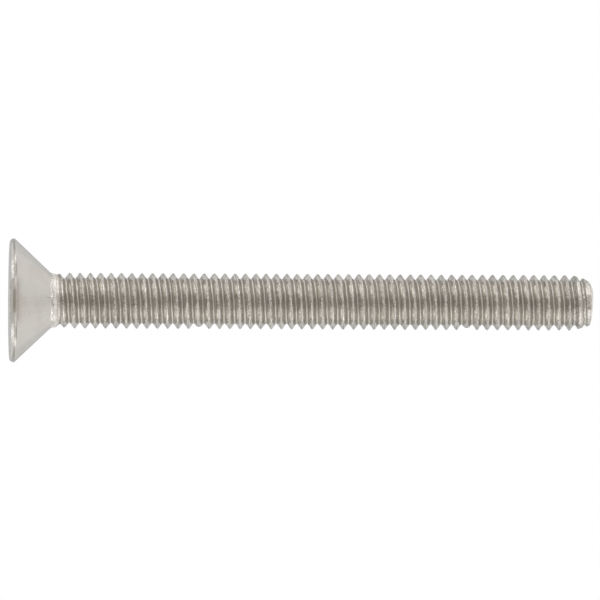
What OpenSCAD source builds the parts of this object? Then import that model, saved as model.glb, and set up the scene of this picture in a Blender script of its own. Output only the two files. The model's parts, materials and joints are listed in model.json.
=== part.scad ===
// Countersunk machine screw with a six-lobe socket, threaded up to the head.
// The head's flat face lies on z = 0, and the axis rises along +Z to the point.
// All sizes are in millimetres and all angles in degrees.

/* [Overall] */
// Length from the head's face to the end of the point
length = 39.5; // [16:0.5:60]

/* [Head] */
// Diameter of the head at its rim
head_d = 8.36; // [7.8:0.02:9.4]
// Included angle of the countersunk cone
head_angle = 87; // [80:1:100]
// Height of the straight land around the rim, from the face to the cone
land_h = 0.34; // [0.3:0.01:0.6]
// Radius that rounds the rim into the face
rim_round = 0.27; // [0.05:0.01:0.29]

/* [Neck] */
// Diameter of the plain neck under the head
neck_d = 3.64; // [3.4:0.02:3.8]
// Radius of the fillet between the cone and the neck
neck_fillet = 0.45; // [0.1:0.05:0.8]
// Length of the straight neck between the fillet and the thread's run-out
neck_l = 0.07; // [0.02:0.01:2]

/* [Thread] */
// Outside diameter of the thread
thread_d = 3.84; // [3.76:0.01:4]
// Rise of the thread in one turn
pitch = 0.7; // [0.6:0.05:0.8]
// Included angle of the thread's flanks
flank_angle = 60; // [55:1:60]
// Turns over which the ridge rises from the neck to the first full crest
run_in = 1.4; // [1:0.1:3]
// Direction of the first full crest, about the axis from +X
crest_angle = 180; // [0:5:355]
// Flat facets in each turn of the thread
turn_facets = 20; // [12:2:24]

/* [Point] */
// Length of the tapered point
point_l = 1.4; // [0.8:0.1:3]
// Diameter at the end of the taper
point_d = 3.24; // [3:0.02:3.5]
// Radius that rounds the taper into the end
point_round = 0.42; // [0.1:0.02:0.6]
// Angle by which the sheared end falls away from square, towards +X
end_tilt = 3.5; // [0:0.5:6]
// Radius of the edge that the shear rolled over, on the side towards -X
roll_over = 1.1; // [0.6:0.05:1.4]

/* [Socket] */
// Diameter over the tips of the six lobes
socket_d = 3.95; // [3.86:0.01:4.1]
// Diameter inside the six flutes between the lobes
flute_d = 2.85; // [2.75:0.01:2.9]
// Radius of each lobe's tip
lobe_r = 0.3; // [0.26:0.01:0.34]
// Depth of the lobes' straight walls
socket_depth = 1.6; // [1:0.05:1.9]
// Depth of the cone in the socket's floor
floor_cone = 0.3; // [0.1:0.05:0.4]

/* [Dents] */
// Turns, counted from the first full crest, at which the crest is dented
dent_turns = [12.5, 38.5]; // [0:0.5:80]
// Depth of a dent at its middle
dent_depth = 0.24; // [0.05:0.01:0.3]
// Arc of the crest that a dent spans
dent_arc = 54; // [36:2:90]

/* [Hidden] */
steel = [0.69, 0.68, 0.65];
// Share of the pitch that the flat of a crest takes, and the thread's depth in pitches
crest_share = 1 / 8;
depth_share = 0.6134;
// Depth inside the neck at which the ridge starts
ridge_sink = 0.06;
// Turns of the helix inside the neck, and turns past the end that the point trims off
sunk_turns = 0.1;
spare_turns = 1.5;
// Length of the cone that closes the groove at the neck, in pitches
run_out_share = 0.6;
// Share of the end's flat, from the middle towards -X, at which the tilt meets the rolled edge
roll_share = 0.58;
// Angle at which the arc of the rolled edge ends, outside the point's taper
roll_end = 165;
// Segments of the small arcs in the profiles
arc_steps = 5;
lobe_steps = 8;
// Width of the flat edge around the cone in the socket's floor
floor_edge = 0.05;
// Depth at which the run-out cone ends below the facets of the root
sink = 0.02;
// Distance by which cutting bodies pass the faces that they cut
over = 0.5;

head_r = head_d / 2;
neck_r = neck_d / 2;
half_angle = head_angle / 2;
cone_end_z = land_h + (head_r - neck_r) / tan(half_angle);
fillet_end_z = cone_end_z + neck_fillet * tan(half_angle / 2);
neck_end_z = fillet_end_z + neck_l;

thread_r = thread_d / 2;
root_r = thread_r - depth_share * pitch;
crest_w = crest_share * pitch;
flank_w = (thread_r - root_r) * tan(flank_angle / 2);
first_crest_z = neck_end_z + run_in * pitch;
lead_turns = run_in + sunk_turns;
helix_z = first_crest_z - lead_turns * pitch;
helix_steps = ceil(((length - helix_z) / pitch + spare_turns) * turn_facets);
run_out_r = root_r * cos(180 / turn_facets) - sink;
run_out_z = neck_end_z + run_out_share * pitch;
end_r = point_d / 2 - point_round;

// Points of a round arc of radius r about (x, z), from angle a to angle b
function arc(x, z, r, a, b, steps) =
    [for (k = [0:steps]) let (t = a + (b - a) * k / steps) [x + r * cos(t), z + r * sin(t)]];

// A list of points without its first and last
function between(points) = [for (k = [1:len(points) - 2]) points[k]];

// Outline of the head and the neck, to be turned about the axis
function head_profile() = concat(
    [[0, 0]],
    arc(head_r - rim_round, rim_round, rim_round, -90, 0, arc_steps),
    [[head_r, land_h]],
    arc(neck_r + neck_fillet, fillet_end_z, neck_fillet, 180 + half_angle, 180, arc_steps),
    [[neck_r, neck_end_z],
     [run_out_r, run_out_z],
     [0, run_out_z]]);

// Outline that trims the thread to its tapered and rounded point
function point_profile() =
    let (taper = (thread_r - point_d / 2) / (point_l - point_round),
         wide_r = thread_r + over)
    concat(
        [[0, 0],
         [wide_r, 0],
         [wide_r, length - point_l - over / taper]],
        arc(end_r, length - point_round, point_round, 0, 90, arc_steps),
        [[0, length]]);

// Outline, seen along Y, of what the shear takes off: a slope towards +X and a rolled edge towards -X
function shear_profile() =
    let (x = -roll_share * end_r,
         far = thread_r + over,
         edge = arc(x, length - roll_over, roll_over, 90, roll_end, arc_steps))
    concat(
        [[far, length + over],
         [far, length - (far - x) * tan(end_tilt)]],
        edge,
        [[-far, edge[arc_steps][1]],
         [-far, length + over]]);

// How far the ridge has risen at a step of the helix: 0 at the neck, 1 at full height
function rise(i) = min(1, i / turn_facets / lead_turns);

// How deep the crest is dented at a step of the helix
function dent(i) = max([for (turn = dent_turns)
    let (away = abs(i / turn_facets - lead_turns - turn) * 360)
    dent_depth * max(0, 1 - away * 2 / dent_arc)]);

// Point at a step of the helix, at radius r and dz above the middle of the crest
function on_helix(i, r, dz) =
    let (turn = i / turn_facets, a = crest_angle + (turn - lead_turns) * 360)
    [r * cos(a), r * sin(a), helix_z + turn * pitch + dz];

// Four corners of the ridge at a step: root, crest, crest, root. A dent cuts the crest off flat
function ridge(i) =
    let (start_r = neck_r - ridge_sink,
         r = start_r + (thread_r - start_r) * rise(i) - dent(i),
         half_w = crest_w / 2 + dent(i) * tan(flank_angle / 2))
    [on_helix(i, root_r, -crest_w / 2 - flank_w),
     on_helix(i, r, -half_w),
     on_helix(i, r, half_w),
     on_helix(i, root_r, crest_w / 2 + flank_w)];

// Threaded rod as one closed skin: the ridge's flanks, its crest, the root and two end caps
module thread_rod() {
    n = turn_facets;
    last = helix_steps;
    points = concat(
        [for (i = [0:last]) each ridge(i)],
        [[0, 0, helix_z], [0, 0, helix_z + last / n * pitch]]);
    low = 4 * (last + 1);
    high = low + 1;
    ridge_faces = [for (i = [0:last - 1]) for (k = [0:2]) let (a = 4 * i + k, b = a + 4)
        each [[a, a + 1, b + 1], [a, b + 1, b]]];
    root_faces = [for (i = [0:last - 1 - n]) let (a = 4 * i + 3, b = a + 4, c = 4 * (i + n), d = c + 4)
        each [[a, c, d], [a, d, b]]];
    low_edge = [0, 1, 2, 3, 4 * n];
    high_edge = [4 * (last - n) + 3, 4 * last, 4 * last + 1, 4 * last + 2, 4 * last + 3];
    low_cap = concat(
        [for (i = [0:n - 1]) [low, 4 * i, 4 * i + 4]],
        [for (k = [0:3]) [low, low_edge[k + 1], low_edge[k]]]);
    high_cap = concat(
        [for (i = [last - n:last - 1]) [high, 4 * i + 7, 4 * i + 3]],
        [for (k = [0:3]) [high, high_edge[k], high_edge[k + 1]]]);
    polyhedron(points, concat(ridge_faces, root_faces, low_cap, high_cap));
}

// What the shear takes off the end
module shear() {
    rotate([90, 0, 0]) linear_extrude(thread_d + over, center = true) polygon(shear_profile());
}

// Thread trimmed to its point
module thread() {
    difference() {
        intersection() {
            thread_rod();
            rotate_extrude($fn = 96) polygon(point_profile());
        }
        shear();
    }
}

// Six-lobe outline: round lobes joined by round flutes, tangent where they meet
module six_lobe() {
    lobe_c = socket_d / 2 - lobe_r;
    inner = flute_d / 2;
    flute_r = (pow(lobe_c, 2) + pow(inner, 2) - 2 * lobe_c * inner * cos(30) - pow(lobe_r, 2))
        / (2 * (lobe_r - inner + lobe_c * cos(30)));
    flute_c = inner + flute_r;
    reach = atan2(flute_c * sin(30), flute_c * cos(30) - lobe_c);
    polygon([for (k = [0:5]) let (a = 60 * k) each concat(
        arc(lobe_c * cos(a), lobe_c * sin(a), lobe_r, a - reach, a + reach, lobe_steps),
        between(arc(flute_c * cos(a + 30), flute_c * sin(a + 30), flute_r,
                    a + 180 + reach, a + 240 - reach, lobe_steps)))]);
}

// Space of the driver: the six-lobe hole with a shallow cone in its floor
module socket() {
    floor_r = flute_d / 2 - floor_edge;
    translate([0, 0, -over]) linear_extrude(socket_depth + over) six_lobe();
    rotate_extrude($fn = 48) polygon([
        [0, socket_depth - over],
        [floor_r, socket_depth - over],
        [floor_r, socket_depth],
        [0, socket_depth + floor_cone]]);
}

// The screw, forged and rolled in one piece
module screw() {
    color(steel) difference() {
        union() {
            rotate_extrude($fn = 96) polygon(head_profile());
            thread();
        }
        socket();
    }
}

screw();
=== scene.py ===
"""Dresses the countersunk screw: one rolled steel piece, a pale studio floor, soft lamps and a camera."""

import json
import math

import bmesh
import bpy
from mathutils import Matrix, Vector, noise


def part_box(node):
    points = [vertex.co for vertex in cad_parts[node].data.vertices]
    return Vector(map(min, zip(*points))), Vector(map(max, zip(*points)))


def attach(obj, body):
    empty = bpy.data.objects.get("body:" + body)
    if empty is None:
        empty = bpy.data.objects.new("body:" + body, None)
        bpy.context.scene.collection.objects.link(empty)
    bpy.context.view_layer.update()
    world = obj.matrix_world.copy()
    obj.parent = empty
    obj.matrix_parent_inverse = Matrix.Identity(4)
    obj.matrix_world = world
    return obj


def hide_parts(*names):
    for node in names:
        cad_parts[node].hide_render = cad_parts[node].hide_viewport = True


bl_info = {
    "name": "Countersunk screw",
    "version": (1, 0, 0),
    "blender": (4, 5, 0),
    "location": "3D View > Sidebar > Screw",
    "description": "Models a rolled steel screw with a six-lobe socket and lights it as in a studio",
    "category": "Add Mesh",
}

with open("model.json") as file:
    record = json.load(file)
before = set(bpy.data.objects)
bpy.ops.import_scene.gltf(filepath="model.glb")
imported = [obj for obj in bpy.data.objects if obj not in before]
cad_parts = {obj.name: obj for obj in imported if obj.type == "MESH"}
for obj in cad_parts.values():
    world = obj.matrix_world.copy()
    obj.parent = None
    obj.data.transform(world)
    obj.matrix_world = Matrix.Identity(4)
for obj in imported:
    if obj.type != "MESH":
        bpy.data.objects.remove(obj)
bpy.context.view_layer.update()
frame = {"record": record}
MOUNTS = {mount["name"]: mount["dims"] for mount in frame["record"]["mounts"] if mount["dims"]}
SCREW_LOW, SCREW_HIGH = (Vector(corner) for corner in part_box("screw"))

MM = 0.001
TURN = 2 * math.pi

# Mesh density: steps around one turn, steps across one pitch, and segments of a small round edge
TURN_STEPS = 72
PITCH_STEPS = 18
EDGE_STEPS = 6
# Distances in millimetres under which doubled vertices are one, and an edge lies at an open end's height
WELD = 0.0005
END_REACH = 0.005


class ScrewSizes(bpy.types.PropertyGroup):
    """Sizes of the screw, from its head to its point."""

    length: bpy.props.FloatProperty(
        name="Length", description="From the head's face to the end of the point",
        default=SCREW_HIGH.z - SCREW_LOW.z, unit="LENGTH")
    head_d: bpy.props.FloatProperty(
        name="Head diameter", description="Diameter of the head at its rim",
        default=2 * min(-SCREW_LOW.x, SCREW_HIGH.x), unit="LENGTH")
    head_angle: bpy.props.FloatProperty(
        name="Head angle", description="Included angle of the countersunk cone",
        default=math.radians(87), subtype="ANGLE")
    land_h: bpy.props.FloatProperty(
        name="Land", description="Height of the straight land around the rim",
        default=0.34 * MM, unit="LENGTH")
    rim_round: bpy.props.FloatProperty(
        name="Rim round", description="Radius that rounds the rim into the face",
        default=0.27 * MM, unit="LENGTH")
    land_round: bpy.props.FloatProperty(
        name="Land round", description="Radius that rounds the land into the cone",
        default=0.06 * MM, unit="LENGTH")
    neck_d: bpy.props.FloatProperty(
        name="Neck diameter", description="Diameter of the plain neck under the head",
        default=3.64 * MM, unit="LENGTH")
    neck_fillet: bpy.props.FloatProperty(
        name="Neck fillet", description="Radius between the cone and the neck",
        default=0.45 * MM, unit="LENGTH")
    neck_l: bpy.props.FloatProperty(
        name="Neck length", description="Straight neck between the fillet and the thread's run-out",
        default=0.07 * MM, unit="LENGTH")
    thread_d: bpy.props.FloatProperty(
        name="Thread diameter", description="Outside diameter of the thread",
        default=2 * MOUNTS["thread"]["r_mm"] * MM, unit="LENGTH")
    pitch: bpy.props.FloatProperty(
        name="Pitch", description="Rise of the thread in one turn",
        default=0.7 * MM, unit="LENGTH")
    run_in: bpy.props.FloatProperty(
        name="Run-in", description="Turns over which the ridge rises to its first full crest",
        default=1.4)
    point_l: bpy.props.FloatProperty(
        name="Point length", description="Length of the tapered point",
        default=1.4 * MM, unit="LENGTH")
    point_d: bpy.props.FloatProperty(
        name="Point diameter", description="Diameter at the end of the taper",
        default=3.24 * MM, unit="LENGTH")
    point_round: bpy.props.FloatProperty(
        name="Point round", description="Radius that rounds the taper into the end",
        default=0.42 * MM, unit="LENGTH")
    end_tilt: bpy.props.FloatProperty(
        name="End tilt", description="Angle by which the sheared end falls away from square, towards +X",
        default=math.radians(3.5), subtype="ANGLE")
    roll_over: bpy.props.FloatProperty(
        name="Roll-over", description="Radius of the edge that the shear rolled over, towards -X",
        default=1.1 * MM, unit="LENGTH")
    socket_d: bpy.props.FloatProperty(
        name="Socket diameter", description="Diameter over the tips of the six lobes",
        default=2 * MOUNTS["drive_socket"]["r_mm"] * MM, unit="LENGTH")
    flute_d: bpy.props.FloatProperty(
        name="Flute diameter", description="Diameter inside the flutes between the lobes",
        default=2.85 * MM, unit="LENGTH")
    lobe_r: bpy.props.FloatProperty(
        name="Lobe radius", description="Radius of each lobe's tip",
        default=0.3 * MM, unit="LENGTH")
    socket_depth: bpy.props.FloatProperty(
        name="Socket depth", description="Depth of the lobes' straight walls",
        default=MOUNTS["drive_socket"]["length_mm"] * MM, unit="LENGTH")
    dent_depth: bpy.props.FloatProperty(
        name="Dent depth", description="Depth of the two dents in the crest",
        default=0.24 * MM, unit="LENGTH")
    waver: bpy.props.FloatProperty(
        name="Waver", description="How far the rolled ridge wanders from a true helix",
        default=0.03 * MM, unit="LENGTH")


class SteelLook(bpy.types.PropertyGroup):
    """Colours and finish of the steel."""

    steel: bpy.props.FloatVectorProperty(
        name="Steel", description="Colour of the bright steel",
        default=(0.575, 0.555, 0.518), size=3, subtype="COLOR")
    stained: bpy.props.FloatVectorProperty(
        name="Stained steel", description="Colour where rolling oil has stained the steel",
        default=(0.52, 0.485, 0.43), size=3, subtype="COLOR")
    crest: bpy.props.FloatVectorProperty(
        name="Crest", description="Colour of the thread's crest",
        default=(0.60, 0.575, 0.53), size=3, subtype="COLOR")
    # The line above the rim is painted shade; the scratch by the neck is a real mark
    shade_and_scratch: bpy.props.FloatVectorProperty(
        name="Dirt", description="Colour of the line of dirt above the rim and of the scratch by the neck",
        default=(0.22, 0.20, 0.175), size=3, subtype="COLOR")
    # Painted light on the thread: the flank facing the head is painted lighter as if lit, the flank facing
    # the point darker as painted shade
    lit_near_flank: bpy.props.FloatVectorProperty(
        name="Near flank", description="Colour of the thread's flank that faces the head",
        default=(0.76, 0.73, 0.675), size=3, subtype="COLOR")
    shaded_far_flank: bpy.props.FloatVectorProperty(
        name="Far flank", description="Colour of the thread's flank that faces the point",
        default=(0.59, 0.56, 0.515), size=3, subtype="COLOR")
    # Darker colour low in the groove and along the real marks, and painted shade in the run-out
    groove: bpy.props.FloatVectorProperty(
        name="Groove", description="Colour of the grime in the thread's groove, its run-out and its marks",
        default=(0.36, 0.335, 0.30), size=3, subtype="COLOR")
    # Painted highlight: the root is painted brighter than the steel, standing for the narrow highlight
    # along the thread's bottom
    root: bpy.props.FloatVectorProperty(
        name="Root", description="Colour of the burnished root of the thread",
        default=(0.75, 0.72, 0.665), size=3, subtype="COLOR")
    # Pale colour of real wear on the neck and collar, of the lighter rim, and of the painted highlights on
    # the crest's edge and the rim's glints
    wear_and_highlight: bpy.props.FloatVectorProperty(
        name="Worn steel", description="Colour of the rim, the neck and the crest's edge where worn",
        default=(0.95, 0.93, 0.88), size=3, subtype="COLOR")
    point: bpy.props.FloatVectorProperty(
        name="Point", description="Colour of the frosted steel at the point",
        default=(0.53, 0.507, 0.47), size=3, subtype="COLOR")
    # Painted shade: the head's front, which faces the camera, is darkened brown as a dark reflection
    front_shade: bpy.props.FloatVectorProperty(
        name="Rim stain", description="Colour of the brown stain on the rim's front",
        default=(0.34, 0.30, 0.26), size=3, subtype="COLOR")
    gloss_roughness: bpy.props.FloatProperty(
        name="Roughness", description="Roughness of the bright steel on the head",
        default=0.26, subtype="FACTOR")
    ridge_roughness: bpy.props.FloatProperty(
        name="Ridge roughness", description="Roughness of the thread's crest",
        default=0.08, subtype="FACTOR")
    flank_roughness: bpy.props.FloatProperty(
        name="Flank roughness", description="Roughness of the thread's flanks",
        default=0.22, subtype="FACTOR")
    groove_roughness: bpy.props.FloatProperty(
        name="Groove roughness", description="Roughness low in the thread's groove",
        default=0.55, subtype="FACTOR")
    neck_roughness: bpy.props.FloatProperty(
        name="Neck roughness", description="Roughness of the neck",
        default=0.68, subtype="FACTOR")
    point_roughness: bpy.props.FloatProperty(
        name="Point roughness", description="Roughness of the frosted point",
        default=0.36, subtype="FACTOR")


class StageLook(bpy.types.PropertyGroup):
    """Floor, lamps, flags and camera."""

    floor: bpy.props.FloatVectorProperty(
        name="Floor", description="Colour of the floor",
        default=(0.86, 0.86, 0.855), size=3, subtype="COLOR")
    flag: bpy.props.FloatVectorProperty(
        name="Flag", description="Grey of the flag behind the camera, which darkens the thread's middle",
        default=(0.56, 0.53, 0.50), size=3, subtype="COLOR")
    flag_width: bpy.props.FloatProperty(
        name="Flag width", description="Width of the flag behind the camera",
        default=0.5, unit="LENGTH")
    flag_height: bpy.props.FloatProperty(
        name="Flag height", description="Height of the flag behind the camera",
        default=2.6, unit="LENGTH")
    back_flag: bpy.props.FloatVectorProperty(
        name="Back flag", description="Grey of the flag behind the screw, which tones its edges down",
        default=(0.57, 0.58, 0.595), size=3, subtype="COLOR")
    back_flag_width: bpy.props.FloatProperty(
        name="Back flag width", description="Width of the flag and the veil behind the screw",
        default=1.0, unit="LENGTH")
    veil: bpy.props.FloatVectorProperty(
        name="Veil", description="Grey of the pale veil behind that flag, which shades the cone's edges",
        default=(0.79, 0.795, 0.80), size=3, subtype="COLOR")
    veil_height: bpy.props.FloatProperty(
        name="Veil height", description="Height of the veil",
        default=1.2, unit="LENGTH")
    side_flag: bpy.props.FloatVectorProperty(
        name="Side flag", description="Grey of the two flags that darken the thread towards its edges",
        default=(0.56, 0.56, 0.56), size=3, subtype="COLOR")
    side_flag_width: bpy.props.FloatProperty(
        name="Side flag width", description="Width of the two side flags",
        default=0.5, unit="LENGTH")
    side_flag_turn: bpy.props.FloatProperty(
        name="Side flag turn", description="How far the side flags stand to the side of the camera",
        default=math.radians(118.0), subtype="ANGLE")
    low_flag_height: bpy.props.FloatProperty(
        name="Low flag height", description="Height of the flags behind and beside the screw",
        default=0.38, unit="LENGTH")
    lamp_level: bpy.props.FloatProperty(
        name="Lamp level", description="Brightness of the lamps' faces, where 1 is white",
        default=1.3)
    lamp_turn: bpy.props.FloatProperty(
        name="Lamp turn", description="How far each lamp stands to the side of the camera",
        default=math.radians(71), subtype="ANGLE")
    lamp_rise: bpy.props.FloatProperty(
        name="Lamp rise", description="How steeply the lamps look down at the screw",
        default=math.radians(26.5), subtype="ANGLE")
    lamp_width: bpy.props.FloatProperty(
        name="Lamp width", description="Width of each lamp's face",
        default=0.4, unit="LENGTH")
    lamp_height: bpy.props.FloatProperty(
        name="Lamp height", description="Height of each lamp's face",
        default=0.5, unit="LENGTH")
    fill_level: bpy.props.FloatProperty(
        name="Fill level", description="Strength of the light that the world sheds on the floor",
        default=0.75)
    view_distance: bpy.props.FloatProperty(
        name="Camera distance", description="From the camera to the middle of the screw",
        default=0.44, unit="LENGTH")
    view_width: bpy.props.FloatProperty(
        name="Picture width", description="Width of the picture at the screw's axis",
        default=40.63 * MM, unit="LENGTH")
    view_dip: bpy.props.FloatProperty(
        name="Camera dip", description="How far the camera looks up at the screw from the head's side",
        default=math.radians(4.0), subtype="ANGLE")
    view_roll: bpy.props.FloatProperty(
        name="Camera roll", description="How far the screw leans in the picture",
        default=math.radians(0.28), subtype="ANGLE")
    view_middle: bpy.props.FloatProperty(
        name="Picture middle", description="Height on the axis that the picture is centred on",
        default=19.655 * MM, unit="LENGTH")
    view_lift: bpy.props.FloatProperty(
        name="Picture lift", description="How far the picture's middle lies above the axis",
        default=0.115 * MM, unit="LENGTH")


class Value:
    """A shader value that can be used in Python expressions. Each operation adds one Math node."""

    # Level around which a noise varies
    NOISE_MIDDLE = 0.5

    def __init__(self, graph, socket):
        self.graph = graph
        self.socket = socket

    def math(self, operation, *others):
        return self.graph.calculate(operation, self, *others)

    def swing(self, reach):
        """Turns a noise into a swing about 0."""
        return (self - self.NOISE_MIDDLE) * reach

    def __add__(self, other):
        return self.math("ADD", other)

    def __sub__(self, other):
        return self.math("SUBTRACT", other)

    def __mul__(self, other):
        return self.math("MULTIPLY", other)

    def __truediv__(self, other):
        return self.math("DIVIDE", other)

    def __pow__(self, other):
        return self.math("POWER", other)

    def __rsub__(self, other):
        return self.graph.calculate("SUBTRACT", other, self)

    def __rtruediv__(self, other):
        return self.graph.calculate("DIVIDE", other, self)

    def __rpow__(self, other):
        return self.graph.calculate("POWER", other, self)

    __radd__ = __add__
    __rmul__ = __mul__


class Graph:
    """Adds nodes to one node tree."""

    # Places of the outputs that are picked out of a node's many
    OBJECT_PLACE = 3
    BACKFACING = 6
    CAMERA_RAY = 0
    GLOSSY_RAY = 3
    TRANSMISSION_RAY = 6
    # Places of a Mix node's factor, its two colours and its mixed colour, whose names repeat
    MIX_FACTOR = 0
    MIX_FIRST = 6
    MIX_SECOND = 7
    MIXED = 2

    def __init__(self, tree):
        self.tree = tree
        tree.nodes.clear()

    def node(self, kind, settings=None, inputs=()):
        """Adds a node, sets it up, fills its inputs by place or by name, and gives its outputs."""
        added = self.tree.nodes.new(kind)
        for name, setting in (settings or {}).items():
            setattr(added, name, setting)
        pairs = inputs.items() if isinstance(inputs, dict) else enumerate(inputs)
        for key, given in pairs:
            if isinstance(given, Value):
                self.tree.links.new(given.socket, added.inputs[key])
            else:
                added.inputs[key].default_value = given
        return [Value(self, output) for output in added.outputs]

    def calculate(self, operation, *terms):
        return self.node("ShaderNodeMath", {"operation": operation}, terms)[0]

    def step(self, value, low, high):
        """Rises smoothly from 0 where the value is low to 1 where it is high. High may be the smaller."""
        limits = [min(low, high), max(low, high), float(low > high), float(low <= high)]
        return self.node("ShaderNodeMapRange", {"interpolation_type": "SMOOTHSTEP"}, [value, *limits])[0]

    def noise(self, place, scale=1.0, detail=2.0):
        return self.node("ShaderNodeTexNoise", {}, {"Vector": place, "Scale": scale, "Detail": detail})[0]

    def vector(self, x, y, z):
        return self.node("ShaderNodeCombineXYZ", {}, [x, y, z])[0]

    def scaled(self, vector, scale):
        return self.node("ShaderNodeVectorMath", {"operation": "SCALE"}, {0: vector, "Scale": scale})[0]

    def mix_colour(self, factor, first, second):
        """Mixes two colours, each a value or three numbers."""
        first, second = (given if isinstance(given, Value) else opaque(given) for given in (first, second))
        return self.node("ShaderNodeMix", {"data_type": "RGBA"}, {
            self.MIX_FACTOR: factor, self.MIX_FIRST: first, self.MIX_SECOND: second})[self.MIXED]


def opaque(colour):
    """A colour with full alpha, as a shader's colour socket takes it."""
    return (*colour, 1.0)


class Form:
    """The screw's sizes in millimetres, and the outlines that follow from them."""

    # Share of the pitch that a crest's flat takes, and the thread's depth in pitches
    CREST_SHARE = 1 / 8
    DEPTH_SHARE = 0.6134
    # Half of the angle between the thread's flanks
    FLANK_TILT = math.radians(30)
    # How far the crest's edges and the root are rounded, as shares of the thread's depth
    CREST_ROUND = 0.28
    ROOT_ROUND = 0.26
    # Length over which the groove runs out at the neck, in pitches
    RUN_OUT_SHARE = 0.6
    # Turns, counted from the first full crest, at which the crest is dented, and the arc that a dent spans
    DENT_TURNS = (12.5, 38.5)
    DENT_ARC = math.radians(50)
    # Share of the end's flat, from the middle towards -X, at which the tilt meets the rolled edge
    ROLL_SHARE = 0.58
    # Waves of the wavering ridge in one millimetre, and the seed that makes them the same each time
    WAVER_RATE = 1.3
    WAVER_SEED = 2
    # Share of the waver by which the ridge falls short in radius
    SHORTFALL = 0.5
    # Direction of the first full crest about the axis
    CREST_ANGLE = math.pi
    # Share of the point's round that lies past the level cut, and of the end's flat inside its last ring
    CUT_SHARE = 0.32
    END_RING_SHARE = 0.5
    # Width of the ring of faces around the socket, and of the small bevels at the socket's edges
    FACE_RING = 0.35
    LEAD_IN = 0.06
    # Flat edge around the cone in the socket's floor, the cone's depth, and the share inside its last ring
    FLOOR_EDGE = 0.05
    FLOOR_CONE = 0.3
    FLOOR_RING_SHARE = 0.4
    # Cuts that make the socket's outline finer than the head's
    SOCKET_CUTS = 2
    # Sizes that aren't lengths
    UNSCALED = ("head_angle", "run_in", "end_tilt")

    def __init__(self, sizes):
        for name in sizes.__annotations__:
            setattr(self, name, getattr(sizes, name) / (1 if name in self.UNSCALED else MM))
        self.head_r = self.head_d / 2
        self.neck_r = self.neck_d / 2
        self.thread_r = self.thread_d / 2
        self.half_angle = self.head_angle / 2
        self.depth = self.DEPTH_SHARE * self.pitch
        self.root_r = self.thread_r - self.depth
        self.cone_end_z = self.land_h + (self.head_r - self.neck_r) / math.tan(self.half_angle)
        self.fillet_end_z = self.cone_end_z + self.neck_fillet * math.tan(self.half_angle / 2)
        self.neck_end_z = self.fillet_end_z + self.neck_l
        self.run_out_z = self.neck_end_z + self.RUN_OUT_SHARE * self.pitch
        self.first_crest_z = self.neck_end_z + self.run_in * self.pitch
        self.neck_cut_z = (self.fillet_end_z + self.neck_end_z) / 2
        self.shoulder_r = self.point_d / 2 - self.point_round
        self.point_cut_z = self.length - self.point_round * self.CUT_SHARE

    def ridge_height(self, share):
        """Height of the thread's outline, from 0 at the root to 1 at the crest, across one pitch."""
        crest_half = self.CREST_SHARE / 2
        flank = self.DEPTH_SHARE * math.tan(self.FLANK_TILT)
        straight = 1 - (abs(share) - crest_half) / flank
        above_root = (straight + math.hypot(straight, self.ROOT_ROUND)) / 2
        below_crest = 1 - above_root
        return 1 - (below_crest + math.hypot(below_crest, self.CREST_ROUND)) / 2

    def dent_limit(self, angle, z):
        """Radius that the two dents leave at a place on the thread."""
        limit = self.thread_r
        for turns in self.DENT_TURNS:
            dent_z = self.first_crest_z + turns * self.pitch
            dent_angle = self.CREST_ANGLE + turns * TURN
            away = (angle - dent_angle + math.pi) % TURN - math.pi
            if abs(z - dent_z) < self.pitch / 2 and abs(away) < self.DENT_ARC / 2:
                hollow = math.cos(away / self.DENT_ARC * math.pi)
                limit = min(limit, self.thread_r - self.dent_depth * hollow)
        return limit

    def point_limit(self, z):
        """Radius of the tapered and rounded point at a height."""
        below_round = self.length - self.point_round - z
        if below_round > 0:
            taper = (self.thread_r - self.point_d / 2) / (self.point_l - self.point_round)
            return self.point_d / 2 + taper * below_round
        return self.shoulder_r + math.sqrt(max(0, self.point_round ** 2 - below_round ** 2))

    def end_limit(self, x):
        """Height of the sheared end: a slope towards +X and a rolled edge towards -X."""
        past = x + self.ROLL_SHARE * self.shoulder_r
        if past > 0:
            return self.length - past * math.tan(self.end_tilt)
        return self.length - self.roll_over + math.sqrt(max(0, self.roll_over ** 2 - past ** 2))

    def thread_radius(self, height, angle, z):
        """Radius of the thread where its outline has the given height, with its run-out and its point."""
        sunk = min(1, max(0, (z - self.neck_end_z) / (self.run_out_z - self.neck_end_z)))
        risen = min(1, max(0, (z - self.neck_end_z) / (self.first_crest_z - self.neck_end_z)))
        low = self.neck_r + (self.root_r - self.neck_r) * sunk
        high = self.neck_r + (self.thread_r - self.neck_r) * risen ** 2
        return min(low + (high - low) * height, self.dent_limit(angle, z), self.point_limit(z))

    def head_rings(self):
        """Radius and height of each ring of the head, from the neck to the face."""
        fillet = arc(self.neck_r + self.neck_fillet, self.fillet_end_z, self.neck_fillet,
                     math.pi, math.pi + self.half_angle, EDGE_STEPS)
        reach = self.land_round * math.tan((math.pi / 2 - self.half_angle) / 2)
        shoulder = arc(self.head_r - self.land_round, self.land_h - reach, self.land_round,
                       math.pi / 2 - self.half_angle, 0, EDGE_STEPS)
        rim = arc(self.head_r - self.rim_round, self.rim_round, self.rim_round,
                  0, -math.pi / 2, EDGE_STEPS)
        return fillet + shoulder + rim

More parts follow.
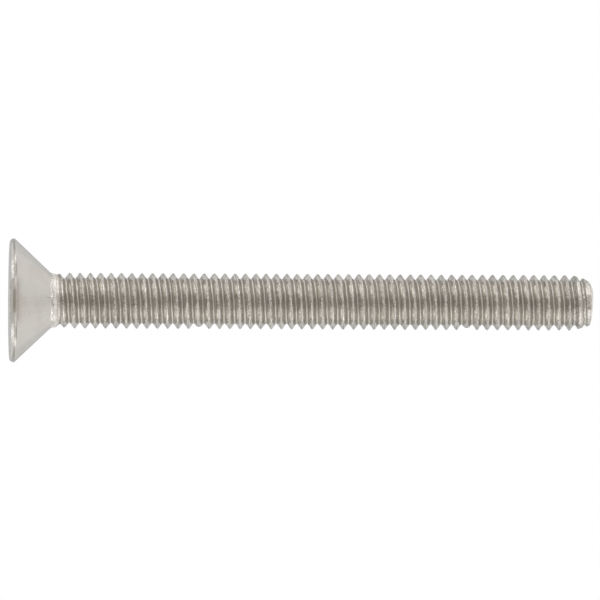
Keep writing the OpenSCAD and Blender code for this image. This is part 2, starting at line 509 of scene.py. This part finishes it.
    def socket_radius(self, angle):
        """Radius of the six-lobe outline in a direction from the axis."""
        lobe_c = self.socket_d / 2 - self.lobe_r
        inner = self.flute_d / 2
        spread = TURN / 12
        leaning = lobe_c * math.cos(spread)
        flute_r = (lobe_c ** 2 + inner ** 2 - 2 * leaning * inner - self.lobe_r ** 2) / (
            2 * (self.lobe_r - inner + leaning))
        flute_c = inner + flute_r
        folded = abs((angle + spread) % (2 * spread) - spread)
        reach = math.atan2(flute_c * math.sin(spread), flute_c * math.cos(spread) - lobe_c)
        meet = math.atan2(self.lobe_r * math.sin(reach), lobe_c + self.lobe_r * math.cos(reach))
        if folded < meet:
            across = lobe_c * math.sin(folded)
            return lobe_c * math.cos(folded) + math.sqrt(self.lobe_r ** 2 - across ** 2)
        across = flute_c * math.sin(spread - folded)
        return flute_c * math.cos(spread - folded) - math.sqrt(flute_r ** 2 - across ** 2)


def arc(x, z, r, start, end, steps):
    """Points of a round arc about (x, z)."""
    turns = [start + (end - start) * k / steps for k in range(steps + 1)]
    return [(x + r * math.cos(a), z + r * math.sin(a)) for a in turns]


def angle_of(vert):
    return math.atan2(vert.co.y, vert.co.x)


def set_radius(vert, radius):
    vert.co.xy = vert.co.xy * (radius / vert.co.xy.length)


def loop_at(bm, z):
    """Edges of the open end that lies at a height."""
    return [edge for edge in bm.edges
            if edge.is_boundary and all(abs(vert.co.z - z) < END_REACH for vert in edge.verts)]


def extend(bm, loop, rings):
    """Carries an open end through rings of a radius, which may depend on the angle, and a height."""
    for radius, z in rings:
        grown = bmesh.ops.extrude_edge_only(bm, edges=loop)["geom"]
        for vert in (item for item in grown if isinstance(item, bmesh.types.BMVert)):
            set_radius(vert, radius(angle_of(vert)) if callable(radius) else radius)
            vert.co.z = z
        loop = [item for item in grown if isinstance(item, bmesh.types.BMEdge) and item.is_boundary]
    return loop


def close(bm, loop, z):
    """Draws an open end together on the axis."""
    verts = list({vert for edge in loop for vert in edge.verts})
    bmesh.ops.pointmerge(bm, verts=verts, merge_co=(0, 0, z))


def roll_thread(bm, form):
    """The thread, from inside the neck to past the point: one pitch of outline swept along the helix."""
    spare = math.ceil((form.first_crest_z - form.neck_cut_z) / form.pitch + 0.5)
    start_z = form.first_crest_z - spare * form.pitch
    turns = math.ceil((form.length - start_z) / form.pitch + 0.5)
    outline = []
    for k in range(PITCH_STEPS + 1):
        share = k / PITCH_STEPS - 0.5
        r = form.root_r + form.depth * form.ridge_height(share)
        z = start_z + share * form.pitch
        outline.append(bm.verts.new((r * math.cos(form.CREST_ANGLE), r * math.sin(form.CREST_ANGLE), z)))
    edges = [bm.edges.new(pair) for pair in zip(outline, outline[1:])]
    bmesh.ops.spin(
        bm, geom=outline + edges, cent=(0, 0, 0), axis=(0, 0, 1), dvec=(0, 0, form.pitch / TURN_STEPS),
        angle=TURN, steps=TURN_STEPS, use_merge=False, use_duplicate=False)
    first_turn = bm.verts[:] + bm.edges[:] + bm.faces[:]
    for k in range(1, turns):
        copied = bmesh.ops.duplicate(bm, geom=first_turn)["geom"]
        verts = [item for item in copied if isinstance(item, bmesh.types.BMVert)]
        bmesh.ops.translate(bm, vec=(0, 0, k * form.pitch), verts=verts)
    bmesh.ops.remove_doubles(bm, verts=bm.verts, dist=WELD)
    noise.seed_set(form.WAVER_SEED)
    for vert in bm.verts:
        height = (vert.co.xy.length - form.root_r) / form.depth
        sway, swell, _ = noise.noise_vector(vert.co * form.WAVER_RATE) * form.waver
        vert.co.z += sway
        radius = form.thread_radius(height, angle_of(vert), vert.co.z)
        set_radius(vert, radius - abs(swell) * form.SHORTFALL)
    trim(bm, form.neck_cut_z, clear_inner=True)
    trim(bm, form.point_cut_z, clear_outer=True)


def trim(bm, z, **side):
    """Cuts the mesh level at a height and clears one side."""
    everything = bm.verts[:] + bm.edges[:] + bm.faces[:]
    bmesh.ops.bisect_plane(
        bm, geom=everything, dist=WELD, plane_co=(0, 0, z), plane_no=(0, 0, 1), **side)


def forge_head(bm, form):
    """The neck's fillet, the cone, the rim and the face, and the socket sunk into the face."""
    face_edge = form.socket_d / 2 + form.FACE_RING
    loop = extend(bm, loop_at(bm, form.neck_cut_z), form.head_rings() + [(face_edge, 0)])
    bmesh.ops.subdivide_edges(bm, edges=loop, cuts=form.SOCKET_CUTS)
    lead_in = form.LEAD_IN
    depth = form.socket_depth
    lobed = form.socket_radius
    floor_r = form.flute_d / 2 - form.FLOOR_EDGE
    loop = extend(bm, loop_at(bm, 0), [
        (lambda angle: lobed(angle) + lead_in, 0),
        (lobed, lead_in),
        (lobed, depth - lead_in),
        (lambda angle: lobed(angle) - lead_in, depth),
        (floor_r - lead_in, depth),
        (floor_r * form.FLOOR_RING_SHARE, depth + form.FLOOR_CONE * (1 - form.FLOOR_RING_SHARE))])
    close(bm, loop, depth + form.FLOOR_CONE)


def round_point(bm, form):
    """The rounded end of the point, sheared out of square."""
    end = form.length
    round_z = end - form.point_round
    start = math.asin((form.point_cut_z - round_z) / form.point_round)
    rings = arc(form.shoulder_r, round_z, form.point_round, start, math.pi / 2, EDGE_STEPS)[1:]
    rings.append((form.shoulder_r * form.END_RING_SHARE, end))
    close(bm, extend(bm, loop_at(bm, form.point_cut_z), rings), end)
    for vert in bm.verts:
        vert.co.z = min(vert.co.z, form.end_limit(vert.co.x))


class SteelFinish:
    """Rolled stainless steel: a satin head with painted glints and painted shade on its rim, a bright neck
    and a marked thread.

    Lengths are in millimetres. A span is a pair: where a zone starts, and where it is full.
    """

    # Waves of the blotches, the mottle and the pits in one millimetre
    BLOTCH_RATE = 0.9
    MOTTLE_RATE = 2.6
    PIT_RATE = 8.0
    # Detail of the coarse noises
    COARSE = 3.0
    # Spans of the noises' levels
    BLOTCH_SPAN = (0.42, 0.68)
    DULL_SPAN = (0.49, 0.56)
    ROLLED_SPAN = (0.44, 0.58)
    PIT_SPAN = (0.47, 0.6)
    SCORE_SPAN = (0.46, 0.6)
    FROST_SPAN = (0.44, 0.56)

    # Spans of the radius, from the crest's or the root's
    FLANK_SPAN = (-0.05, -0.16)
    GROOVE_SPAN = (0.21, 0.08)
    ROOT_SPAN = (0.04, 0.015)
    # Spans of the radius, from the head's: the rim and the painted shade line
    RIM_SPAN = (-0.25, -0.1)
    SHADE_LINE_RADIUS_SPAN = (-0.4, -0.2)
    # Spans across the ridge: the painted highlight on the crest's edge, at an angle off its middle, and
    # the far flank
    EDGE_PHASE = 1.1
    EDGE_SPAN = (0.85, 0.97)
    FAR_SPAN = (-0.3, 0.5)

    # Spans along the axis, from the ends of the screw, the cone, the neck and the run-out; the run-out's
    # spans place painted shade
    POINT_SPAN = (-2.4, -1.2)
    NECK_SPAN = (-0.06, 0.12)
    COLLAR_SPAN = (0.06, -0.04)
    RUN_OUT_SHADE_SPANS = ((-0.24, -0.14), (0.03, -0.06))
    # Spans along the axis, from the land's top: the rim, the painted glints, the painted shade line, the
    # land, and the painted front shade with its foot
    RIM_TOP_SPAN = (0.1, 0.04)
    GLINT_TOP_SPAN = (-0.08, -0.17)
    SHADE_LINE_SPANS = ((-0.2, -0.04), (0.1, 0.04))
    LAND_SPANS = ((-0.14, -0.06), (0.04, 0.0))
    FRONT_SHADE_SPAN = (0.66, 0.0)
    FRONT_SHADE_FOOT_SPAN = (0.28, 0.12)
    # Spans of the direction about the axis, which is -1 in front: the painted front shade, the painted
    # glints, the painted shade line and the scratch
    FRONT_SPAN = (-0.9, -0.95)
    GLINT_SPANS = ((-0.94, -0.91), (-0.7, -0.82))
    SHADE_LINE_SIDE_SPAN = (-0.72, -0.84)
    SCRATCH_FRONT_SPAN = (-0.8, -0.9)
    # Where the scratch runs, and the spans of its half width and of its length
    SCRATCH_X = -0.2
    SCRATCH_WIDTH_SPAN = (0.06, 0.02)
    SCRATCH_SPANS = ((2.3, 2.45), (3.05, 2.9))
    # How far noise moves the edges of the neck, and of the painted front shade and the painted glints
    NECK_WANDER = 0.6
    MOTTLE_WANDER = 0.12
    PIT_WANDER = 0.1

    # Rates of the rolling lines around and into the groove, and of their drift along the screw
    ROLLED_ROUND = 1.2
    ROLLED_DEEP = 9.0
    ROLLED_DRIFT = 0.7
    # Rates of the turned lines, of the drawn lines around and along the cone, and of the scores
    TURNED_RATE = 5.0
    DRAWN_ROUND = 14.0
    DRAWN_ALONG = 0.7
    SCORE_RATE = 8.0
    SCORE_ROUND = 5.0
    # Share of the turned lines on the head, and of the pits in the frost
    TURNED_SHARE = 0.6
    FROST_PITS = 0.6

    # How strongly the marks show, and how far the collar is spared
    ROLLED_MARK = 0.5
    PIT_MARK = 0.4
    SCORE_MARK = 0.5
    COLLAR_SPARED = 0.3
    FROST_MARK = 0.8
    # How strongly blotches cover the steel, how far the groove is darkened low down, and how strongly
    # painted shade covers the run-out
    BLOTCH_COVER = 0.5
    GROOVE_COVER = 0.5
    RUN_OUT_SHADE_COVER = 0.7
    # How strongly wear brightens the neck and collar, how strongly the crest's edge and the rim's glints
    # are painted as highlights, how far the rim is lightened, and how far pits dull the glints
    NECK_WORN = 0.3
    COLLAR_WORN = 0.25
    EDGE_HIGHLIGHT = 0.14
    RIM_LIGHTER = 0.08
    GLINT_HIGHLIGHT = 0.82
    GLINT_DULLED = 0.65
    # How strongly the painted front shade covers the cone, its foot and the rim, and how far the land is
    # spared
    FRONT_SHADE_COVER = 0.38
    FRONT_SHADE_FOOT_COVER = 0.3
    FRONT_SHADE_RIM_COVER = 0.5
    LAND_SPARED = 0.46
    # How strongly the painted shade line and the scratch cover the steel, and how far the front is spared
    # the shade line
    SHADE_LINE_COVER = 0.85
    SCRATCH_COVER = 0.28
    FRONT_SPARED = 0.85

    # How far lines, pits and mottle vary the roughness
    LINE_ROUGHNESS = 0.25
    PIT_ROUGHNESS = 0.1
    MOTTLE_ROUGHNESS = 0.2
    # Full height of the bump, and the shares that lines, pits and mottle have in it on the head
    BUMP_HEIGHT = 0.02
    LINE_SHARE = 0.12
    PIT_SHARE = 0.015
    MOTTLE_SHARE = 0.15
    # What the thread adds to the lines, and each zone to the pits and to the mottle
    ROLLED_SHARE = 0.5
    ZONE_SHARES = {
        "on_thread": (0.5, 2.5),
        "at_rim": (0.06, 0.2),
        "painted_glint": (0.5, 1.0),
        "at_neck": (0.8, 5.0),
        "at_point": (1.5, 4.0),
    }

    def __init__(self, look, form):
        self.material, self.graph = new_material("rolled_steel")
        self.look = look
        self.form = form
        self.find_place()
        self.find_thread()
        self.find_neck()
        self.find_rim()
        self.draw_lines()
        shader = self.graph.node("ShaderNodeBsdfPrincipled", {}, {
            "Base Color": self.colour(), "Metallic": 1.0, "Roughness": self.roughness(),
            "Normal": self.bump()})[0]
        self.graph.node("ShaderNodeOutputMaterial", {}, [shader])

    def within(self, value, *spans, base=0.0):
        """1 where a value is past every span, each counted from a base."""
        steps = [self.graph.step(value, base + start, base + full) for start, full in spans]
        return math.prod(steps[1:], start=steps[0])

    def by_land(self, *spans):
        """1 where the height is past every span, each counted from the land's top."""
        return self.within(self.z, *spans, base=self.form.land_h)

    def find_place(self):
        """Place on the screw in millimetres, about its axis and across its ridge, and the free noises."""
        graph = self.graph
        form = self.form
        self.place = graph.scaled(graph.node("ShaderNodeTexCoord")[graph.OBJECT_PLACE], 1 / MM)
        self.x, y, self.z = graph.node("ShaderNodeSeparateXYZ", {}, [self.place])
        self.radius = (self.x * self.x + y * y) ** 0.5
        self.east = self.x / self.radius
        self.north = y / self.radius
        along_helix = (self.z - form.first_crest_z) / form.pitch - y.math("ARCTAN2", self.x) / TURN
        self.across = (along_helix + form.CREST_ANGLE / TURN) * TURN
        self.blotch = self.within(graph.noise(self.place, self.BLOTCH_RATE, self.COARSE), self.BLOTCH_SPAN)
        self.mottle = graph.noise(self.place, self.MOTTLE_RATE, self.COARSE)
        self.pits = graph.noise(self.place, self.PIT_RATE)

    def find_thread(self):
        """Where the thread, its flanks, its groove, its root, its crest's edge and the point lie."""
        form = self.form
        edge = (self.across - self.EDGE_PHASE).math("COSINE")
        self.on_thread = self.within(self.z, (form.neck_end_z, form.run_out_z))
        self.on_flank = self.within(self.radius, self.FLANK_SPAN, base=form.thread_r) * self.on_thread
        self.in_groove = self.within(self.radius, self.GROOVE_SPAN, base=form.root_r) * self.on_thread
        self.in_root = self.within(self.radius, self.ROOT_SPAN, base=form.root_r) * self.on_thread
        self.on_edge = self.within(edge, self.EDGE_SPAN) * self.on_thread
        self.far_side = self.within(self.across.math("SINE"), self.FAR_SPAN)
        self.at_point = self.within(self.z, self.POINT_SPAN, base=form.length)

    def find_neck(self):
        """Where the neck, its bright collar, the painted shade in the run-out and the scratch lie."""
        form = self.form
        ragged = self.z + self.mottle.swing(self.NECK_WANDER)
        self.at_neck = self.within(ragged, self.NECK_SPAN, base=form.cone_end_z)
        self.at_neck *= self.within(self.z, (form.run_out_z, form.neck_end_z))
        self.bare_neck = self.at_neck * (1 - self.on_thread)
        self.on_collar = self.at_neck * self.within(self.z, self.COLLAR_SPAN, base=form.neck_end_z)
        # Painted shade on the ridge just before the run-out's end
        self.run_out_shade = self.within(self.z, *self.RUN_OUT_SHADE_SPANS, base=form.run_out_z)
        aside = (self.x - self.SCRATCH_X).math("ABSOLUTE")
        self.in_scratch = self.within(aside, self.SCRATCH_WIDTH_SPAN)
        self.in_scratch *= self.within(self.north, self.SCRATCH_FRONT_SPAN)
        self.in_scratch *= self.within(self.z, *self.SCRATCH_SPANS)

    def find_rim(self):
        """Where the rim carries painted shade in front, painted glints beside that, and a painted shade
        line above.
        """
        form = self.form
        wander = self.north + self.mottle.swing(self.MOTTLE_WANDER) + self.pits.swing(self.PIT_WANDER)
        self.at_rim = self.within(self.radius, self.RIM_SPAN, base=form.head_r)
        self.at_rim *= self.by_land(self.RIM_TOP_SPAN)
        self.on_land = self.by_land(*self.LAND_SPANS)
        self.in_front = self.within(wander, self.FRONT_SPAN)
        # Painted highlights: glints on the rim to each side of the front
        self.painted_glint = self.within(wander, *self.GLINT_SPANS) * self.at_rim
        self.painted_glint *= self.by_land(self.GLINT_TOP_SPAN)
        self.painted_glint *= (1 - self.within(self.pits, self.DULL_SPAN) * self.GLINT_DULLED)
        # Painted shade: a dark line where the land meets the cone, beside the front
        self.in_shade_line = self.by_land(*self.SHADE_LINE_SPANS)
        self.in_shade_line *= self.within(self.radius, self.SHADE_LINE_RADIUS_SPAN, base=form.head_r)
        self.in_shade_line *= self.within(self.north, self.SHADE_LINE_SIDE_SPAN)
        self.in_shade_line *= (1 - self.in_front * self.FRONT_SPARED)

    def draw_lines(self):
        """Lines that rolling, turning and drawing left, and the dark marks along them."""
        graph = self.graph
        helix = graph.vector(self.across.math("COSINE") * self.ROLLED_ROUND,
                             self.across.math("SINE") * self.ROLLED_ROUND,
                             self.radius * self.ROLLED_DEEP)
        drift = graph.scaled(self.place, self.ROLLED_DRIFT)
        drifted = graph.node("ShaderNodeVectorMath", {"operation": "ADD"}, [helix, drift])[0]
        rolled = graph.noise(drifted, detail=self.COARSE)
        turned = graph.noise(graph.vector(self.radius * self.TURNED_RATE, self.z * self.TURNED_RATE,
                                          self.east))
        drawn = graph.noise(graph.vector(self.east * self.DRAWN_ROUND, self.north * self.DRAWN_ROUND,
                                         self.radius * self.DRAWN_ALONG))
        scored = graph.noise(graph.vector(self.radius * self.SCORE_RATE, self.z * self.SCORE_RATE,
                                          self.east * self.SCORE_ROUND))
        forged = turned * self.TURNED_SHARE + drawn * (1 - self.TURNED_SHARE)
        self.lines = self.on_thread * rolled + (1 - self.on_thread) * forged

        marks = self.within(rolled, self.ROLLED_SPAN) * self.ROLLED_MARK
        marks = (marks + self.within(self.pits, self.PIT_SPAN) * self.PIT_MARK) * self.on_thread
        scores = self.within(scored, self.SCORE_SPAN) * self.bare_neck
        marks += scores * (self.SCORE_MARK - self.on_collar * self.COLLAR_SPARED)
        frost = self.pits * self.FROST_PITS + scored * (1 - self.FROST_PITS)
        frost = self.within(frost, self.FROST_SPAN) * self.at_point * self.FROST_MARK
        self.marks = marks * (1 - self.at_point) + frost

    def front_shade(self):
        """How strongly painted shade covers the front of the head, which faces the camera."""
        cone = self.by_land(self.FRONT_SHADE_SPAN) * self.FRONT_SHADE_COVER
        foot = self.by_land(self.FRONT_SHADE_FOOT_SPAN) * self.FRONT_SHADE_FOOT_COVER
        rim = self.FRONT_SHADE_RIM_COVER - self.on_land * self.LAND_SPARED
        return (self.at_rim * rim + (1 - self.at_rim) * (cone + foot)) * self.in_front

    def colour(self):
        """Colour of the steel, laid on zone by zone."""
        look = self.look
        # Painted light: the near flank takes the lit colour, the far flank the shaded one
        flank = self.graph.mix_colour(self.far_side, look.lit_near_flank, look.shaded_far_flank)
        neck_wear = self.bare_neck * self.NECK_WORN + self.on_collar * self.COLLAR_WORN
        # Painted highlight on the crest's edge
        edge_highlight = self.on_edge * (1 - self.at_point) * self.EDGE_HIGHLIGHT
        # The rim is made lighter all round, but in front only on the land
        rim_lift = self.at_rim * (1 - self.in_front * (1 - self.on_land)) * self.RIM_LIGHTER
        layers = (
            (self.on_thread, look.crest),
            (self.blotch * self.BLOTCH_COVER, look.stained),
            (self.on_flank, flank),
            # Darker low in the groove
            (self.in_groove * self.GROOVE_COVER, look.groove),
            (self.at_point, look.point),
            (neck_wear, look.wear_and_highlight),
            (self.marks, look.groove),
            (self.run_out_shade * self.RUN_OUT_SHADE_COVER, look.groove),
            # Painted highlight along the root
            (self.in_root, look.root),
            (edge_highlight, look.wear_and_highlight),
            # Painted shade on the head's front
            (self.front_shade(), look.front_shade),
            (rim_lift + self.painted_glint * self.GLINT_HIGHLIGHT, look.wear_and_highlight),
            (self.in_shade_line * self.SHADE_LINE_COVER + self.in_scratch * self.SCRATCH_COVER, look.shade_and_scratch),
        )
        colour = look.steel
        for cover, coat in layers:
            colour = self.graph.mix_colour(cover, colour, coat)
        return colour

    def roughness(self):
        """Roughness of each zone, varied by the lines, the pits and the mottle."""
        look = self.look
        zones = (
            (self.on_thread, look.ridge_roughness),
            (self.on_flank, look.flank_roughness),
            (self.in_groove, look.groove_roughness),
            (self.at_neck, look.neck_roughness),
            (self.at_point, look.point_roughness),
        )
        rough = look.gloss_roughness
        for zone, finish in zones:
            rough += zone * (finish - rough)
        rough += self.lines.swing(self.LINE_ROUGHNESS)
        rough += self.pits.swing(self.PIT_ROUGHNESS)
        return rough + self.mottle.swing(self.MOTTLE_ROUGHNESS)

    def bump(self):
        """Normal of the surface under its lines, its pits and its mottle."""
        pitted = self.PIT_SHARE
        rugged = self.MOTTLE_SHARE
        for zone, (pit_share, mottle_share) in self.ZONE_SHARES.items():
            pitted += getattr(self, zone) * pit_share
            rugged += getattr(self, zone) * mottle_share
        lined = self.LINE_SHARE + self.on_thread * self.ROLLED_SHARE
        height = self.lines * lined + self.pits * pitted + self.mottle * rugged
        return self.graph.node("ShaderNodeBump", {}, {
            "Strength": 1.0, "Distance": self.BUMP_HEIGHT * MM, "Height": height})[0]


def new_material(name):
    """An empty node material, and the graph that fills it."""
    material = bpy.data.materials.new(name)
    material.use_nodes = True
    return material, Graph(material.node_tree)


def floor_material(look):
    """Pale floor that is seen from above only."""
    # Waves of the grain in one metre, the paper's roughness and how far the grain varies it
    grain_rate = 40.0
    roughness = 0.85
    variation = 0.1
    material, graph = new_material("pale_floor")
    backfacing = graph.node("ShaderNodeNewGeometry")[graph.BACKFACING]
    grain = graph.noise(graph.node("ShaderNodeTexCoord")[graph.OBJECT_PLACE], grain_rate)
    paper = graph.node("ShaderNodeBsdfPrincipled", {}, {
        "Base Color": opaque(look.floor), "Roughness": roughness + grain.swing(variation)})[0]
    clear = graph.node("ShaderNodeBsdfTransparent")[0]
    shader = graph.node("ShaderNodeMixShader", {}, [backfacing, paper, clear])[0]
    graph.node("ShaderNodeOutputMaterial", {}, [shader])
    return material


def flag_material(colour):
    """Even grey of a studio flag."""
    material, graph = new_material("studio_flag")
    shader = graph.node("ShaderNodeEmission", {}, {"Color": opaque(colour), "Strength": 1.0})[0]
    graph.node("ShaderNodeOutputMaterial", {}, [shader])
    return material


def white_world(look):
    """World that is white to the camera and in reflections, and sheds an even fill on the floor."""
    world = bpy.data.worlds.new("white_studio")
    world.use_nodes = True
    graph = Graph(world.node_tree)
    path = graph.node("ShaderNodeLightPath")
    mirrored = path[graph.GLOSSY_RAY].math("MAXIMUM", path[graph.TRANSMISSION_RAY])
    seen = path[graph.CAMERA_RAY].math("MAXIMUM", mirrored)
    strength = look.fill_level + seen * (1.0 - look.fill_level)
    shader = graph.node("ShaderNodeBackground", {}, {"Color": (1, 1, 1, 1), "Strength": strength})[0]
    graph.node("ShaderNodeOutputWorld", {}, [shader])
    bpy.context.scene.world = world


def add_object(name, data):
    """An object at the origin that shows a mesh, a lamp or a camera."""
    added = bpy.data.objects.new(name, data)
    bpy.context.scene.collection.objects.link(added)
    return added


def mesh_object(name, bm, material):
    """An object that takes over a finished bmesh."""
    mesh = bpy.data.meshes.new(name)
    bm.to_mesh(mesh)
    bm.free()
    mesh.materials.append(material)
    return add_object(name, mesh)


def facing(direction, upward=Vector((0, 0, 1))):
    """A turn that points -Z along a direction, with Y as near as it gets to upward."""
    back = -direction.normalized()
    right = upward.cross(back).normalized()
    return Matrix((right, back.cross(right), back)).transposed()


class MakeScrew(bpy.types.Operator):
    """Model the screw with its thread, head, socket and point"""

    bl_idname = "countersunk.screw"
    bl_label = "Make the screw"

    # Angle between faces above which their edge stays sharp
    SHARP_ANGLE = math.radians(38)

    def execute(self, context):
        form = Form(context.scene.screw_sizes)
        bm = bmesh.new()
        roll_thread(bm, form)
        forge_head(bm, form)
        round_point(bm, form)
        bmesh.ops.remove_doubles(bm, verts=bm.verts, dist=WELD)
        bmesh.ops.recalc_face_normals(bm, faces=bm.faces)
        bmesh.ops.scale(bm, vec=(MM, MM, MM), verts=bm.verts)
        open_edges = sum(not edge.is_manifold for edge in bm.edges)
        if open_edges:
            raise RuntimeError(f"The screw has {open_edges} open edges")
        for face in bm.faces:
            face.smooth = True
        screw = mesh_object("rolled_screw", bm, SteelFinish(context.scene.steel_look, form).material)
        screw.data.set_sharp_from_angle(angle=self.SHARP_ANGLE)
        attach(screw, "root")
        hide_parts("screw")
        return {"FINISHED"}


class MakeStage(bpy.types.Operator):
    """Lay the floor, hang the lamps and the flags, and set up the camera"""

    bl_idname = "countersunk.stage"
    bl_label = "Make the stage"

    # Distance of the lamps, the flags and the veil from the screw
    LAMP_AWAY = 0.5
    FLAG_AWAY = 0.6
    VEIL_AWAY = 0.65
    # Radius of the floor, and segments of its edges
    FLOOR_R = 0.9
    FLOOR_SEGMENTS = 64
    # How far the floor's opening lies inside the rim, and how far the floor lies below the head's face
    OPENING_INSET = 0.5 * MM
    FLOOR_DROP = 0.01 * MM
    # The camera's sensor in millimetres, and the nearest that it sees
    SENSOR_WIDTH = 36.0
    CLIP_START = 0.01

    def execute(self, context):
        look = context.scene.stage_look
        low = look.low_flag_height
        self.lay_floor(look)
        self.hang_lamps(look)
        self.hang_flag(0, look.flag_width, look.flag_height, look.flag)
        self.hang_flag(math.pi, look.back_flag_width, low, look.back_flag)
        self.hang_flag(math.pi, look.back_flag_width, look.veil_height, look.veil, self.VEIL_AWAY)
        for turn in (-look.side_flag_turn, look.side_flag_turn):
            self.hang_flag(turn, look.side_flag_width, low, look.side_flag)
        self.set_camera(context.scene, look)
        white_world(look)
        context.scene.view_settings.view_transform = "Standard"
        return {"FINISHED"}

    def lay_floor(self, look):
        bm = bmesh.new()
        for radius in (self.FLOOR_R, SCREW_HIGH.x - self.OPENING_INSET):
            bmesh.ops.create_circle(bm, radius=radius, segments=self.FLOOR_SEGMENTS)
        bmesh.ops.bridge_loops(bm, edges=bm.edges)
        bmesh.ops.recalc_face_normals(bm, faces=bm.faces)
        if bm.faces[:][0].normal.z < 0:
            bmesh.ops.reverse_faces(bm, faces=bm.faces)
        bmesh.ops.translate(bm, vec=(0, 0, -self.FLOOR_DROP), verts=bm.verts)
        floor = mesh_object("floor", bm, floor_material(look))
        floor.visible_glossy = False

    def hang_lamps(self, look):
        for side in (-1, 1):
            lamp = bpy.data.lights.new("softbox", "AREA")
            lamp.shape = "RECTANGLE"
            lamp.size = look.lamp_width
            lamp.size_y = look.lamp_height
            lamp.energy = look.lamp_level * math.pi * look.lamp_width * look.lamp_height
            holder = add_object("softbox", lamp)
            level = Vector((side * math.sin(look.lamp_turn), -math.cos(look.lamp_turn), 0))
            outward = level * math.cos(look.lamp_rise) + Vector((0, 0, math.sin(look.lamp_rise)))
            holder.matrix_world = facing(-outward).to_4x4()
            holder.location = outward * self.LAMP_AWAY
            holder.visible_camera = False

    def hang_flag(self, turn, width, height, colour, away=FLAG_AWAY):
        outward = Vector((math.sin(turn), -math.cos(turn), 0))
        bm = bmesh.new()
        bmesh.ops.create_grid(bm, x_segments=1, y_segments=1, size=0.5)
        bmesh.ops.scale(bm, vec=(width, height, 1), verts=bm.verts)
        bmesh.ops.transform(bm, matrix=facing(outward).to_4x4(), verts=bm.verts)
        bmesh.ops.translate(bm, vec=outward * away, verts=bm.verts)
        flag = mesh_object("flag", bm, flag_material(colour))
        flag.visible_camera = flag.visible_diffuse = flag.visible_shadow = False

    def set_camera(self, scene, look):
        camera = bpy.data.cameras.new("camera")
        camera.sensor_width = self.SENSOR_WIDTH
        camera.lens = camera.sensor_width * look.view_distance / look.view_width
        camera.clip_start = self.CLIP_START
        ahead = Vector((0, math.cos(look.view_dip), math.sin(look.view_dip)))
        along = Vector((0, -math.sin(look.view_dip), math.cos(look.view_dip)))
        above = Vector((-1, 0, 0))
        upward = above * math.cos(look.view_roll) - along * math.sin(look.view_roll)
        holder = add_object("camera", camera)
        middle = Vector((-look.view_lift, 0, look.view_middle))
        place = Matrix.Translation(middle - ahead * look.view_distance)
        holder.matrix_world = place @ facing(ahead, upward).to_4x4()
        scene.camera = holder


class ScrewPanel(bpy.types.Panel):
    """Sizes, finish and stage of the screw"""

    bl_idname = "VIEW3D_PT_countersunk_screw"
    bl_label = "Countersunk screw"
    bl_space_type = "VIEW_3D"
    bl_region_type = "UI"
    bl_category = "Screw"

    # Operator whose button follows a group of settings
    MAKERS = {"steel_look": MakeScrew, "stage_look": MakeStage}

    def draw(self, context):
        for settings in SETTINGS:
            group = getattr(context.scene, settings)
            box = self.layout.box()
            for name in group.__annotations__:
                box.prop(group, name)
            if settings in self.MAKERS:
                box.operator(self.MAKERS[settings].bl_idname)


CLASSES = (ScrewSizes, SteelLook, StageLook, MakeScrew, MakeStage, ScrewPanel)
SETTINGS = {"screw_sizes": ScrewSizes, "steel_look": SteelLook, "stage_look": StageLook}


def register():
    for cls in CLASSES:
        bpy.utils.register_class(cls)
    for name, group in SETTINGS.items():
        setattr(bpy.types.Scene, name, bpy.props.PointerProperty(type=group))


def unregister():
    for name in SETTINGS:
        delattr(bpy.types.Scene, name)
    for cls in reversed(CLASSES):
        bpy.utils.unregister_class(cls)


def main():
    register()
    bpy.ops.countersunk.stage()
    bpy.ops.countersunk.screw()


if __name__ == "__main__":
    main()
